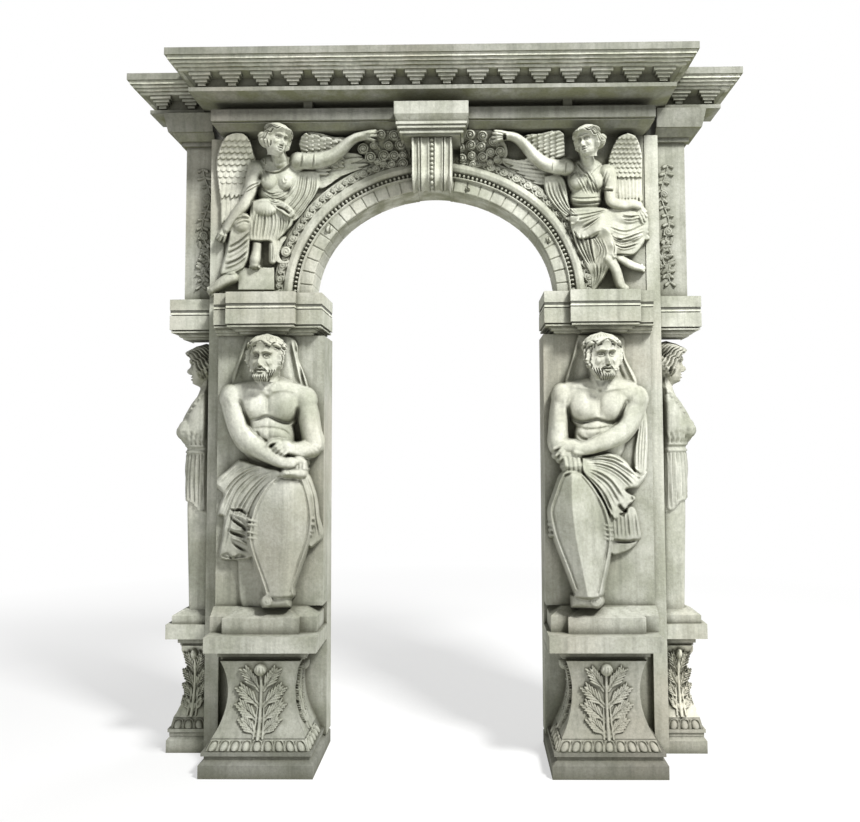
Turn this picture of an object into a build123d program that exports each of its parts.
"""A carved stone triumphal arch, built as its separate stones, in millimetres.

X runs to the right across the front, Y to the back and Z up. The origin is on the ground, midway
between the two sides and midway between the front and the back. Depths are measured back from the
front of the plinths, and levels up from the ground, as a mason would set them out. The right-hand
stones are modelled, and most left-hand ones are their mirror images. The two atlases and the two
victories differ, so each is carved by itself.
"""
import os
from math import atan2, cos, pi, sin

from build123d import *

# Widths, from the middle of the passage outwards
PASSAGE_HALF = 557
PANEL_WIDTH = 545
STRIP_WIDTH = 70
WING_WIDTH = 192

# Depths, from the front of the plinths backwards
CAP_SETBACK = 50
BASE_SETBACK = 125
BASE_SIDE_SETBACK = 165
IMPOST_SETBACK = 130
IMPOST_SIDE_SETBACK = 172
FRIEZE_SETBACK = 180
PANEL_SETBACK = 250
RING_SETBACK = 300
STRIP_SETBACK = 330
FIELD_SETBACK = 335
SLAB_SETBACK = 370
SLAB_BACK = 500
WING_SETBACK = 330
WING_DEPTH = 270
WING_PANEL_SETBACK = 420
WING_PANEL_DEPTH = 120

# Heights of the courses, from the ground up
PLINTH_BASE = 80
PLINTH_MOULDING = 90
DIE_HEIGHT = 350
CAP_HEIGHT = 117
BASE_HEIGHT = 113
FIGURE_HEIGHT = 1356
IMPOST_HEIGHT = 208
SPANDREL_HEIGHT = 847
BAND_HEIGHT = 101
BED_HEIGHT = 43
SOFFIT_RISE = 17
BED_FILLET = 20
DENTIL_BAND = 72
CROWN_STEP = 14
FASCIA_HEIGHT = 35
WING_CAPITAL_HEIGHT = 165

# The arch head, struck from three centres, and the rings of its archivolt
ARCH_HALF = 637
ARCH_RISE = 560
HAUNCH_RADIUS = 520
STONE_BAND = 65
BEAD_CHANNEL = 35
ROLL = 42
LEAF_BORDER = 52

# The keystone and its cap
KEY_HALF = 104
KEY_TAPER = 6
KEY_SETBACK = 120
KEY_HEIGHT = 218
KEY_ROLL = 36
KEY_CAP_HALF = 184
KEY_CAP_SETBACK = 50
KEY_CAP_HEIGHT = 159

# The cornice
CORNICE_OVERHANG = 139
WING_CORNICE_OVERHANG = 248
WING_CORNICE_ADVANCE = 45
CORNICE_REAR = 60
SOFFIT_DEPTH = 200
JOINT_LEFT = -248
JOINT_RIGHT = 324
DENTIL_PITCH = 154
DENTIL_WIDTH = 95
DENTIL_STEPS = 4
DENTIL_SETBACK = 64
DENTIL_BED = 118

# Places that follow from the sizes above
STRIP_INNER = PASSAGE_HALF + PANEL_WIDTH
STRIP_OUTER = STRIP_INNER + STRIP_WIDTH
WING_OUTER = STRIP_OUTER + WING_WIDTH
WING_BACK = WING_SETBACK + WING_DEPTH
CORNICE_HALF = STRIP_OUTER + CORNICE_OVERHANG
WING_CORNICE_HALF = WING_OUTER + WING_CORNICE_OVERHANG
OVERALL_DEPTH = WING_BACK + CORNICE_REAR
PLINTH_TOP = PLINTH_BASE + PLINTH_MOULDING
DIE_TOP = PLINTH_TOP + DIE_HEIGHT
CAP_TOP = DIE_TOP + CAP_HEIGHT
BASE_TOP = CAP_TOP + BASE_HEIGHT
IMPOST_BOTTOM = BASE_TOP + FIGURE_HEIGHT
IMPOST_TOP = IMPOST_BOTTOM + IMPOST_HEIGHT
BAND_BOTTOM = IMPOST_TOP + SPANDREL_HEIGHT
BAND_TOP = BAND_BOTTOM + BAND_HEIGHT
BED_TOP = BAND_TOP + BED_HEIGHT
BEAD_EDGE = STONE_BAND + BEAD_CHANNEL
ROLL_EDGE = BEAD_EDGE + ROLL
BORDER_EDGE = ROLL_EDGE + LEAF_BORDER
KEY_BOTTOM = IMPOST_TOP + ARCH_RISE - 8
KEY_TOP = KEY_BOTTOM + KEY_HEIGHT

# Moulding profiles from the bottom up: (height in the course, projection from its face)
PLINTH_PROFILE = [(0, -22), (20, -22), (20, -10), (37, -10), (37, -28), (84, -48), (90, -50)]
CAP_PROFILE = [(0, -66), (14, -66), (14, -54), (30, -54), (43, -46), (43, 0), (CAP_HEIGHT, 0)]
IMPOST_PROFILE = [
    (0, -62), (14, -56), (14, -44), (30, -36), (48, -12), (48, 0), (122, 0), (122, -14),
    (136, -14), (136, -4), (151, -4), (151, 0), (IMPOST_HEIGHT, 0),
]
BAND_PROFILE = [(0, -38), (30, -4), (36, -10), (42, 0), (BAND_HEIGHT, 0)]
KEY_CAP_PROFILE = [
    (0, -42), (16, -42), (16, -32), (32, -32), (44, -20), (66, -16), (96, 0), (KEY_CAP_HEIGHT, 0),
]
CAPITAL_PROFILE = [
    (0, 0), (10, 0), (10, 20), (32, 20), (32, 34), (70, 60), (70, 76), (WING_CAPITAL_HEIGHT, 96),
]


def deep(depth):
    """Y of a depth measured back from the front of the plinths."""
    return depth - OVERALL_DEPTH / 2


def block(x0, x1, front, back, z0, z1):
    """A squared stone between two X values, two depths and two levels."""
    stone = Box(x1 - x0, back - front, z1 - z0, align=(Align.MIN, Align.MIN, Align.MIN))
    return Pos(x0, deep(front), z0) * stone


def outline(points):
    """A flat face inside a closed outline, with repeated points left out."""
    kept = [p for i, p in enumerate(points) if p != points[i - 1]]
    return make_face(Polyline(kept, close=True))


def crossed(side, front, x0, x1, near, far):
    """What a side profile run along X and a front profile run along Y both hold.

    Where the two runs meet, every moulding turns its corner in a mitre.
    """
    along = Pos(x0, 0, 0) * extrude(Plane.YZ * side, amount=x1 - x0)
    through = Pos(0, deep(far), 0) * extrude(Plane.XZ * front, amount=far - near)
    return (along & through).solids()[0]


def course(profile, level, x0, x1, front, back, left=1, right=1, rear=0):
    """A moulded course that returns on the sides named, mitred at the corners."""
    steps = [(level + height, reach) for height, reach in profile]
    near = [(deep(front - p), z) for z, p in steps]
    far = [(deep(back + rear * p), z) for z, p in reversed(steps)]
    west = [(x0 - left * p, z) for z, p in steps]
    east = [(x1 + right * p, z) for z, p in reversed(steps)]
    room = max(p for _, p in steps) + 10
    return crossed(outline(near + far), outline(west + east), x0 - room, x1 + room,
                   front - room, back + room)


def arch_points(grow):
    """Foot, haunch, shoulder and crown of the arch's right half, grown by an offset."""
    side = HAUNCH_RADIUS + grow
    centre_x = ARCH_HALF - HAUNCH_RADIUS
    small = ARCH_RISE - HAUNCH_RADIUS
    drop = (centre_x**2 - small**2) / (2 * small)
    top = ARCH_RISE + drop + grow
    lean = atan2(centre_x, drop)
    shoulder = (top * sin(lean), top * cos(lean) - drop)
    half = atan2(shoulder[1], shoulder[0] - centre_x) / 2
    haunch = (centre_x + side * cos(half), side * sin(half))
    return (ARCH_HALF + grow, 0), haunch, shoulder, (0, ARCH_RISE + grow)


def arch_block(grow, front, back, below=0):
    """The arch head, grown by an offset, as a solid between two depths."""
    foot, haunch, shoulder, crown = arch_points(grow)
    west = [(-x, z) for x, z in (shoulder, haunch, foot)]
    sill = [west[2], (west[2][0], -below), (foot[0], -below), foot] if below else [west[2], foot]
    edge = Curve() + [
        ThreePointArc(foot, haunch, shoulder),
        ThreePointArc(shoulder, crown, west[0]),
        ThreePointArc(*west),
        Polyline(sill),
    ]
    head = extrude(Plane.XZ * make_face(edge), amount=back - front)
    return Pos(0, deep(back), IMPOST_TOP) * head


def arch_ring(inner, outer, front):
    """A ring of the archivolt between two offsets from the arch's edge."""
    clear = 5
    hole = arch_block(inner, front - clear, SLAB_BACK + clear, below=clear)
    return arch_block(outer, front, SLAB_BACK) - hole


def plinth():
    """The foot of a pedestal: a plain chamfered base and a sloping bed for the egg band."""
    base = [(0, 0), (PLINTH_BASE - 19, 0), (PLINTH_BASE, -22)]
    foot = course(base, 0, PASSAGE_HALF, STRIP_INNER - 6, 0, SLAB_BACK)
    band = course(PLINTH_PROFILE, PLINTH_BASE, PASSAGE_HALF, STRIP_INNER - 6, 0, SLAB_SETBACK)
    return (foot + band).solids()[0]


def waisted(x0, x1, front, back, foot, waist, head, left=1):
    """A block hollowed to a waist by one arc on its front and on its sides."""
    low, mid, high = PLINTH_TOP, PLINTH_TOP + 0.62 * DIE_HEIGHT, DIE_TOP
    hollow = ThreePointArc((deep(front + foot), low), (deep(front + waist), mid),
                           (deep(front + head), high))
    rest = Polyline([(deep(front + head), high), (deep(back), high), (deep(back), low),
                     (deep(front + foot), low)])
    side = make_face(Curve() + [hollow, rest])
    east = ThreePointArc((x1 - foot, low), (x1 - waist, mid), (x1 - head, high))
    if left:
        west = ThreePointArc((x0 + foot, low), (x0 + waist, mid), (x0 + head, high))
        feet, tops = (x0 + foot, low), (x0 + head, high)
    else:
        west, feet, tops = Line((x0, low), (x0, high)), (x0, low), (x0, high)
    flat = [Line(feet, (x1 - foot, low)), Line(tops, (x1 - head, high))]
    return crossed(side, make_face(Curve() + [west, east] + flat), x0, x1, front, back)


def pedestal():
    """The waisted block under each atlas."""
    return waisted(PASSAGE_HALF, STRIP_INNER - 6, 0, SLAB_SETBACK, 50, 108, 78)


def pedestal_cap():
    """Two thin fillets under a plain projecting slab."""
    return course(CAP_PROFILE, DIE_TOP, PASSAGE_HALF - 3, STRIP_INNER - 8, CAP_SETBACK, SLAB_SETBACK)


def base_block():
    """The bevelled block under the atlas, its middle set forward of its sides."""
    face = BASE_HEIGHT - 38
    wide = course([(0, 0), (face, 0), (BASE_HEIGHT, -60)], CAP_TOP, PASSAGE_HALF + 15,
                  STRIP_INNER - 4, BASE_SIDE_SETBACK, SLAB_SETBACK, left=1, right=0)
    middle = course([(0, 0), (face, 0), (BASE_HEIGHT, -75)], CAP_TOP, PASSAGE_HALF + 96,
                    STRIP_INNER - 75, BASE_SETBACK, SLAB_SETBACK)
    return (wide + middle).solids()[0]


def pier():
    """The slab behind the pedestal, with the panel that the atlas stands against."""
    slab = block(PASSAGE_HALF, STRIP_INNER, SLAB_SETBACK, SLAB_BACK, PLINTH_BASE, IMPOST_BOTTOM)
    panel = block(PASSAGE_HALF, STRIP_INNER - 4, PANEL_SETBACK, SLAB_SETBACK, BASE_TOP, IMPOST_BOTTOM)
    return (slab + panel).solids()[0]


def jamb_strip():
    """The plain upright strip between the pier and the wing."""
    return block(STRIP_INNER, STRIP_OUTER, STRIP_SETBACK, SLAB_BACK, 0, BAND_BOTTOM)


def impost():
    """The moulded block that the arch springs from, its middle set forward of its sides."""
    body = course(IMPOST_PROFILE, IMPOST_BOTTOM, PASSAGE_HALF, STRIP_INNER, IMPOST_SIDE_SETBACK,
                  SLAB_BACK, right=0)
    middle = course(IMPOST_PROFILE, IMPOST_BOTTOM, PASSAGE_HALF + 127, STRIP_INNER - 72,
                    IMPOST_SETBACK, PANEL_SETBACK)
    return (body + middle).solids()[0]


def key_wedge():
    """The slightly tapered block that the keystone is cut from, up to the frieze band."""
    foot = KEY_HALF - KEY_TAPER
    sides = outline([(-foot, KEY_BOTTOM), (foot, KEY_BOTTOM), (KEY_HALF, BAND_BOTTOM),
                     (-KEY_HALF, BAND_BOTTOM)])
    wedge = extrude(Plane.XZ * sides, amount=SLAB_BACK - KEY_SETBACK)
    return Pos(0, deep(SLAB_BACK), 0) * wedge


def spandrel():
    """One half of the wall over the arch, outside the archivolt."""
    wall = block(0, STRIP_INNER, FIELD_SETBACK, SLAB_BACK, IMPOST_TOP, BAND_BOTTOM)
    wall = wall - arch_block(BORDER_EDGE, 0, SLAB_BACK + 50, below=50) - key_wedge()
    return wall.solids().sort_by(Axis.X)[-1]


def archivolt():
    """One half of the arch ring: stone band, bead channel, roll and leaf border."""
    ring = arch_ring(0, STONE_BAND, RING_SETBACK + 18)
    ring = ring + arch_ring(STONE_BAND, BEAD_EDGE, RING_SETBACK + 24)
    ring = ring + arch_ring(BEAD_EDGE, ROLL_EDGE, RING_SETBACK)
    ring = ring + arch_ring(ROLL_EDGE, BORDER_EDGE, RING_SETBACK + 14)
    half = block(0, ARCH_HALF + BORDER_EDGE + 10, 0, SLAB_BACK + 10, IMPOST_TOP - 10, BAND_TOP)
    return ((ring & half) - key_wedge()).solids().sort_by(Axis.X)[-1]


def keystone():
    """The fluted key block, a tapered wedge with a roll at its foot."""
    body = key_wedge() - block(-200, 200, 0, RING_SETBACK, KEY_TOP, BAND_BOTTOM + 10)
    roll = Cylinder(KEY_ROLL, 2 * (KEY_HALF - KEY_TAPER))
    body = body + Pos(0, deep(KEY_SETBACK + 45), KEY_BOTTOM) * Rot(0, 90, 0) * roll
    body = body - arch_block(0, RING_SETBACK - 25, SLAB_BACK + 10, below=50)
    for x in (-78, -52, 52, 78):
        body = body - Pos(x, deep(KEY_SETBACK), (KEY_BOTTOM + KEY_TOP) / 2 + 22) * Cylinder(7, 150)
    return body.solids()[0]


def keystone_cap():
    """The moulded cap on the keystone."""
    return course(KEY_CAP_PROFILE, KEY_TOP, -KEY_CAP_HALF, KEY_CAP_HALF, KEY_CAP_SETBACK,
                  RING_SETBACK)


def frieze_band():
    """The band over the arch: a sloping band under a plain fascia, mitred at its ends."""
    band = course(BAND_PROFILE, BAND_BOTTOM, -STRIP_OUTER + 40, STRIP_OUTER - 40, FRIEZE_SETBACK,
                  SLAB_BACK)
    notch = block(-KEY_CAP_HALF, KEY_CAP_HALF, 0, RING_SETBACK, KEY_TOP, KEY_TOP + KEY_CAP_HEIGHT)
    return (band - notch).solids()[0]


def bed_course():
    """The recessed course that carries the cornice, with its two front shims."""
    half = STRIP_INNER - 20
    bed = block(-half, half, FRIEZE_SETBACK + 90, SLAB_BACK, BAND_TOP, BED_TOP)
    for middle in (-0.58 * STRIP_INNER, 0.626 * STRIP_INNER):
        bed = bed + block(middle - 22, middle + 22, FRIEZE_SETBACK + 20, SLAB_BACK, BAND_TOP, BED_TOP)
    return bed.solids()[0]


def cornice_profile(soffit):
    """Sloping soffit, bed fillet, hollow dentil bed, four crown steps and the top fascia."""
    bed = SOFFIT_RISE + BED_FILLET
    crown = bed + DENTIL_BAND
    steps = [(0, -soffit), (SOFFIT_RISE, -92), (bed, -92), (bed, -104), (bed + 8, -DENTIL_BED),
             (crown - 20, -DENTIL_BED), (crown, -DENTIL_SETBACK)]
    for i, reach in enumerate((-56, -40, -26, -14)):
        steps.append((crown + i * CROWN_STEP, reach - 8))
        steps.append((crown + (i + 0.7) * CROWN_STEP, reach))
    top = crown + 4 * CROWN_STEP
    return steps + [(top, -10), (top, 0), (top + FASCIA_HEIGHT, 0)]


def dentil(x, front):
    """One stepped dentil, an upside-down pyramid of courses, against the dentil bed."""
    top = BED_TOP + SOFFIT_RISE + BED_FILLET + DENTIL_BAND - 4
    rise = (DENTIL_BAND - 16) / DENTIL_STEPS
    tooth = None
    for step in range(DENTIL_STEPS):
        half = DENTIL_WIDTH / 2 - 0.12 * DENTIL_WIDTH * step
        setback = DENTIL_SETBACK + 4 + (DENTIL_BED - DENTIL_SETBACK - 4) / DENTIL_STEPS * step
        piece = block(x - half, x + half, front + setback, front + DENTIL_BED + 6,
                      top - rise * (step + 1), top - rise * step)
        tooth = piece if tooth is None else tooth + piece
    return tooth


def main_course():
    """The main cornice before its dentils are added."""
    return course(cornice_profile(SOFFIT_DEPTH), BED_TOP, -CORNICE_HALF, CORNICE_HALF, 0, SLAB_BACK)


def cornice_lengths():
    """The main cornice with its dentils, cut into the three lengths that it is laid in."""
    whole = main_course()
    pairs = int((CORNICE_HALF - DENTIL_BED) / DENTIL_PITCH)
    for i in range(-pairs - 1, pairs + 1):
        if abs(i + 0.5) * DENTIL_PITCH + DENTIL_WIDTH / 2 < CORNICE_HALF - DENTIL_SETBACK:
            whole = whole + dentil((i + 0.5) * DENTIL_PITCH, 0)
    cuts = [-CORNICE_HALF, JOINT_LEFT, JOINT_RIGHT, CORNICE_HALF]
    lengths = {}
    for name, x0, x1 in zip(("left", "middle", "right"), cuts[:-1], cuts[1:]):
        slot = block(x0, x1, -10, SLAB_BACK + 10, BED_TOP - 10, BED_TOP + 400)
        lengths["cornice_" + name] = (whole & slot).solids()[0]
    return lengths


def wing_plinth():
    """The foot of the wing's pedestal."""
    base = [(0, 0), (PLINTH_BASE - 19, 0), (PLINTH_BASE, -16)]
    foot = course(base, 0, STRIP_OUTER, WING_OUTER, WING_SETBACK, WING_BACK, left=0, rear=1)
    slim = [(height, 0.56 * reach) for height, reach in PLINTH_PROFILE]
    band = course(slim, PLINTH_BASE, STRIP_OUTER, WING_OUTER, WING_SETBACK, WING_BACK, left=0, rear=1)
    return (foot + band).solids()[0]


def wing_pedestal():
    """The waisted block under each herm."""
    return waisted(STRIP_OUTER, WING_OUTER, WING_SETBACK, WING_BACK, 28, 84, 52, left=0)


def wing_cap():
    """The cap slab and the bevelled block that carry the herm."""
    profile = [(0, -44), (14, -44), (14, -34), (36, -34), (43, -26), (43, 14), (CAP_HEIGHT, 14),
               (CAP_HEIGHT, -10), (CAP_HEIGHT + 40, -10), (CAP_HEIGHT + 68, -62)]
    return course(profile, DIE_TOP, STRIP_OUTER, WING_OUTER, WING_SETBACK + 20, WING_BACK - 20,
                  left=0, rear=1)


def wing_impost():
    """The moulded block over the herm's head."""
    return course(IMPOST_PROFILE, IMPOST_BOTTOM, STRIP_OUTER, WING_OUTER + 23, WING_SETBACK + 20,
                  WING_BACK - 20, left=0, rear=1)


def wing_panel():
    """The upper pilaster of the wing, whose front carries foliage."""
    return block(STRIP_OUTER, WING_OUTER - 30, WING_PANEL_SETBACK,
                 WING_PANEL_SETBACK + WING_PANEL_DEPTH, IMPOST_TOP, BED_TOP - WING_CAPITAL_HEIGHT)


def wing_capital():
    """The flaring capital between the wing's panel and its cornice."""
    return course(CAPITAL_PROFILE, BED_TOP - WING_CAPITAL_HEIGHT, STRIP_OUTER, WING_OUTER - 30,
                  WING_PANEL_SETBACK, WING_PANEL_SETBACK + WING_PANEL_DEPTH, left=0, rear=1)


def wing_cornice():
    """The wing's length of cornice, set back from the main one and cut to its end."""
    front = WING_SETBACK - WING_CORNICE_ADVANCE
    whole = course(cornice_profile(0.7 * SOFFIT_DEPTH), BED_TOP, STRIP_OUTER, WING_CORNICE_HALF,
                   front, OVERALL_DEPTH, left=0, rear=1)
    for i in (0, 1):
        whole = whole + dentil(WING_CORNICE_HALF - DENTIL_BED - DENTIL_PITCH * (i + 0.25), front)
    return (whole - main_course()).solids().sort_by(SortBy.VOLUME)[-1]


def ring_points(half, thick, sides):
    """Corners of a flattened polygon, so that a roughed-out form keeps few faces."""
    turns = [2 * pi * (i + 0.5) / sides for i in range(sides)]
    return [(half * cos(t), thick * sin(t)) for t in turns]


def faceted(rings):
    """A closed form of flat facets between rings of corners, as a mason roughs out a figure."""
    corners = [[Vector(corner) for corner in ring] for ring in rings]
    facets = [corners[0], corners[-1]]
    for low, high in zip(corners, corners[1:]):
        for i in range(len(low)):
            j = (i + 1) % len(low)
            facets += [[low[i], low[j], high[j]], [low[i], high[j], high[i]]]
    return Solid(Shell([Face(Wire.make_polygon(facet)) for facet in facets]))


def upright(stations, sides=12):
    """A roughed-out form through level sections: (x, depth, level, half width, half depth)."""
    return faceted([
        [(x + across, deep(depth) + inward, level) for across, inward in ring_points(half, thick, sides)]
        for x, depth, level, half, thick in stations
    ])


def limb(joints, sides=8):
    """A tapering limb through joints: (x, depth, level, radius)."""
    places = [Vector(x, deep(depth), level) for x, depth, level, _ in joints]
    rings = []
    for i, (place, joint) in enumerate(zip(places, joints)):
        along = (places[min(i + 1, len(places) - 1)] - places[max(i - 1, 0)]).normalized()
        across = along.cross(Vector(0, 1, 0)).normalized()
        inward = along.cross(across)
        ring = ring_points(joint[3], joint[3], sides)
        rings.append([place + across * a + inward * b for a, b in ring])
    return faceted(rings)


def merged(forms):
    """Several forms that grow out of one block."""
    whole = forms[0]
    for form in forms[1:]:
        whole = whole + form
    return whole


def head(x, depth, level, height, width):
    """A head as a plain faceted form: neck, jaw, cheeks, brow and crown."""
    h, w = height, width / 2
    return upright([
        (x, depth + 0.1 * h, level, 0.7 * w, 0.26 * h), (x, depth, level + 0.14 * h, 0.62 * w, 0.32 * h),
        (x, depth, level + 0.34 * h, 0.92 * w, 0.4 * h), (x, depth, level + 0.66 * h, w, 0.44 * h),
        (x, depth, level + 0.88 * h, 0.8 * w, 0.36 * h), (x, depth, level + h, 0.36 * w, 0.18 * h),
    ])


def carve(side, forms, face):
    """Forms in high relief, cut off flat where they meet the wall behind them."""
    whole = merged(forms)
    x0, x1 = sorted((side * (PASSAGE_HALF - 500), side * (WING_OUTER + 200)))
    wall = block(x0, x1, face, SLAB_BACK + 200, CAP_TOP, CORNICE_HALF + BED_TOP)
    return (whole - wall).solids().sort_by(SortBy.VOLUME)[-1]


def atlas(side, shield_x, hands_x):
    """A bearded man in high relief, his wrists crossed over a tall urn-shaped shield.

    Places are given from the middle of the panel outwards, and heights as shares of the figure.
    """
    mid = side * (PASSAGE_HALF + PANEL_WIDTH / 2)
    face = PANEL_SETBACK

    def up(share):
        return BASE_TOP + share * FIGURE_HEIGHT

    torso = upright([
        (mid, face, up(0.42), 178, 96), (mid, face, up(0.52), 158, 106), (mid, face, up(0.61), 148, 104),
        (mid, face, up(0.69), 172, 128), (mid, face, up(0.76), 186, 118), (mid, face, up(0.82), 150, 78),
    ])
    neck = limb([(mid, face - 50, up(0.78), 72), (mid, face - 66, up(0.86), 58)])
    forms = [torso, neck, head(mid, face - 92, up(0.82), 0.175 * FIGURE_HEIGHT, 178)]
    veil = upright([(mid, face, up(0.8), 205, 34), (mid, face, up(0.995), 112, 34)], 8)
    forms.append(veil)
    for s in (-1, 1):
        shoulder = (mid + s * 188, face - 45, up(0.775), 66)
        elbow = (mid + s * 205, face - 80, up(0.6), 56)
        wrist = (hands_x + s * 26, face - 150, up(0.53), 36)
        forms.append(limb([shoulder, (mid + s * 212, face - 60, up(0.69), 60), elbow]))
        forms.append(limb([elbow, wrist, (hands_x - s * 34, face - 158, up(0.515), 42)]))
    forms.append(upright([
        (shield_x, face - 66, up(0.012), 62, 26), (shield_x, face - 66, up(0.05), 62, 26),
        (shield_x, face - 74, up(0.16), 108, 50), (shield_x, face - 84, up(0.3), 152, 70),
        (shield_x, face - 90, up(0.4), 138, 66), (shield_x, face - 100, up(0.495), 60, 40),
    ]))
    forms.append(upright([
        (mid, face, up(0.19), 190, 52), (mid - side * 10, face, up(0.3), 216, 84),
        (mid, face, up(0.46), 200, 110), (mid, face, up(0.53), 150, 104),
    ]))
    foot = block(mid - 110, mid + 90, face - 60, face, BASE_TOP, up(0.2))
    return carve(side, forms + [foot], face)


def wing_feathers(points, thick=26):
    """A folded wing as a flat bevelled plate inside an outline of (x, level) points."""
    plate = extrude(Plane.XZ * outline(points), amount=thick)
    return Pos(0, deep(FIELD_SETBACK), 0) * plate


def victory(side, reach):
    """A seated winged woman in high relief, one arm out to the roses beside the keystone.

    reach is how far her hand comes from the middle of the arch. Heights are shares of the spandrel.
    """
    face = FIELD_SETBACK

    def up(share):
        return IMPOST_TOP + share * SPANDREL_HEIGHT

    def at(across, out, share, radius):
        return (side * across, face - out, up(share), radius)

    lap = up(0.5)
    forms = [
        upright([(side * 825, face - 20, lap, 118, 96), (side * 815, face - 20, up(0.62), 88, 84),
                 (side * 812, face - 20, up(0.72), 104, 92), (side * 800, face - 20, up(0.82), 116, 70),
                 (side * 806, face - 24, up(0.88), 52, 46)]),
        limb([at(808, 62, 0.82, 44), at(806, 84, 0.91, 38)]),
        head(side * 806, face - 96, up(0.838), 0.1 * FIGURE_HEIGHT, 128),
        limb([at(700, 52, 0.8, 46), at(530, 54, 0.845, 38), at(reach + 40, 50, 0.945, 26),
              at(reach, 46, 0.96, 22)]),
        limb([at(905, 52, 0.8, 44), at(962, 58, 0.655, 38), at(1010, 78, 0.56, 30)]),
        limb([at(830, 60, 0.54, 92), at(796, 138, 0.51, 80), at(890, 86, 0.2, 54), at(900, 70, 0.14, 46)]),
        limb([at(860, 60, 0.52, 92), at(950, 128, 0.45, 76), at(1020, 70, 0.16, 54), at(1050, 60, 0.05, 40)]),
        wing_feathers([(side * 965, up(0.5)), (side * 1088, up(0.52)), (side * 1096, up(0.84)),
                       (side * 1050, up(0.97)), (side * 990, up(0.95)), (side * 930, up(0.78))]),
        wing_feathers([(side * 680, up(0.97)), (side * 420, up(0.9)), (side * 430, up(0.82)),
                       (side * 640, up(0.6)), (side * 760, up(0.66)), (side * 740, up(0.93))]),
        block(*sorted((side * 850, side * 1000)), face - 64, face, IMPOST_TOP, up(0.13)),
    ]
    clear = arch_block(ROLL_EDGE, 0, SLAB_BACK, below=20)
    clear = clear + arch_block(BORDER_EDGE, RING_SETBACK + 14, SLAB_BACK, below=20)
    return (carve(side, forms, face) - clear).solids().sort_by(SortBy.VOLUME)[-1]


def herm():
    """A woman's bust on a tapering shaft, facing outward from the wing."""
    middle = WING_SETBACK + WING_DEPTH / 2
    face = STRIP_OUTER + 60

    def up(share):
        return BASE_TOP + share * FIGURE_HEIGHT

    def slab(level, reach, half):
        corners = [(STRIP_OUTER, -half), (face + reach, -half), (face + reach, half), (STRIP_OUTER, half)]
        return Pos(0, deep(middle), level) * outline(corners)

    shaft = loft([slab(CAP_TOP + 68, 52, 58), slab(up(0.5), 66, 84)], ruled=True)
    bust = upright([
        (face, middle, up(0.32), 70, 92), (face, middle, up(0.47), 80, 98), (face, middle, up(0.545), 66, 88),
        (face + 18, middle, up(0.63), 86, 112), (face + 8, middle, up(0.7), 80, 122),
        (face - 4, middle, up(0.78), 56, 104), (face, middle, up(0.82), 44, 48),
    ])
    skull = upright([
        (face, middle, up(0.8), 46, 44), (face + 10, middle, up(0.85), 74, 52),
        (face + 8, middle, up(0.92), 84, 74), (face, middle, up(0.98), 74, 70),
        (face, middle, up(1), 50, 50),
    ])
    wing = block(STRIP_OUTER, WING_OUTER + 40, 0, OVERALL_DEPTH, CAP_TOP, IMPOST_BOTTOM)
    return (merged([shaft, bust, skull]) & wing).solids().sort_by(SortBy.VOLUME)[-1]


def both_sides(stones):
    """The right-hand stones and their mirror images on the left."""
    named = {}
    for name, stone in stones.items():
        named["right_" + name] = stone
        named["left_" + name] = mirror(stone, about=Plane.YZ)
    return named


def build():
    """Every stone by its name."""
    stones = both_sides({
        "plinth": plinth(), "pedestal": pedestal(), "pedestal_cap": pedestal_cap(),
        "base_block": base_block(), "pier": pier(), "jamb_strip": jamb_strip(),
        "impost": impost(), "spandrel": spandrel(), "archivolt": archivolt(),
        "wing_plinth": wing_plinth(), "wing_pedestal": wing_pedestal(), "wing_cap": wing_cap(),
        "wing_impost": wing_impost(), "wing_panel": wing_panel(), "wing_capital": wing_capital(),
        "wing_cornice": wing_cornice(), "herm": herm(),
    })
    stones["left_atlas"] = atlas(-1, -760, -700)
    stones["right_atlas"] = atlas(1, 724, 690)
    stones["left_victory"] = victory(-1, 360)
    stones["right_victory"] = victory(1, 335)
    stones["keystone"] = keystone()
    stones["keystone_cap"] = keystone_cap()
    stones["frieze_band"] = frieze_band()
    stones["bed_course"] = bed_course()
    stones.update(cornice_lengths())
    return stones


os.makedirs("parts", exist_ok=True)
for name, stone in build().items():
    export_step(stone, f"parts/{name}.step")
